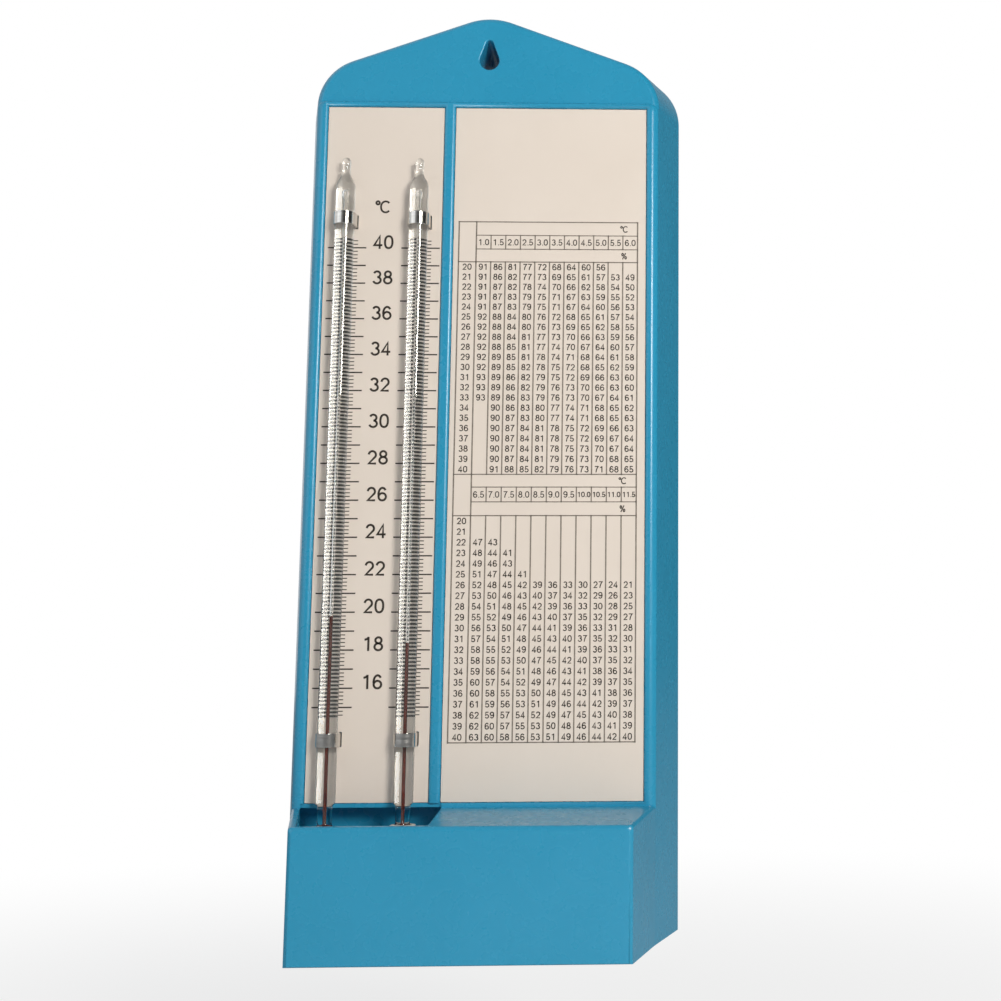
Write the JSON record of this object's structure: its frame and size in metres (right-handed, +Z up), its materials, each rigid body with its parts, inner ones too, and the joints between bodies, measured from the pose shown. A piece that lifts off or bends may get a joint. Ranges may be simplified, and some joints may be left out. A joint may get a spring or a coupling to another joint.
{
  "type": "wet and dry bulb hygrometer",
  "caption": "Wall-hung hygrometer: tapered moulded case, dry and wet bulb glass thermometers on a scale plate, humidity table, glass water feeder in the box below.",
  "frame": {"origin": "middle of the width and depth, level with the lower edge of the case", "axes": "+X to the right seen from the front, +Y to the wall, +Z up"},
  "size_m": [0.12, 0.05, 0.29],
  "materials": {
    "case_plastic": "satin moulded polystyrene",
    "printed_plate": "matte, black print",
    "tube_glass": "clear, polished",
    "thermometer_liquid": "dark dyed liquid",
    "clip_metal": "spring strip",
    "wick_cloth": "plain woven cotton",
    "tie_thread": "twisted cotton",
    "feeder_glass": "clear, flame polished mouth",
    "water": "clear water"
  },
  "bodies": {
    "case": {"case": "case_plastic", "scale_plate": "printed_plate", "table_plate": "printed_plate", "dry_thermometer_glass": "tube_glass", "wet_thermometer_glass": "tube_glass", "dry_liquid": "thermometer_liquid", "wet_liquid": "thermometer_liquid", "dry_upper_clip": "clip_metal", "dry_lower_clip": "clip_metal", "wet_upper_clip": "clip_metal", "wet_lower_clip": "clip_metal", "wick": "wick_cloth", "wick_upper_tie": "tie_thread", "wick_lower_tie": "tie_thread"},
    "feeder": {"feeder_glass": "feeder_glass", "feeder_water": "water"}
  },
  "joints": [
    {"name": "feeder_slide", "type": "slide", "parent": "case", "child": "feeder", "axis": [0, 0, -1], "range_m": [0, 0.03]}
  ]
}
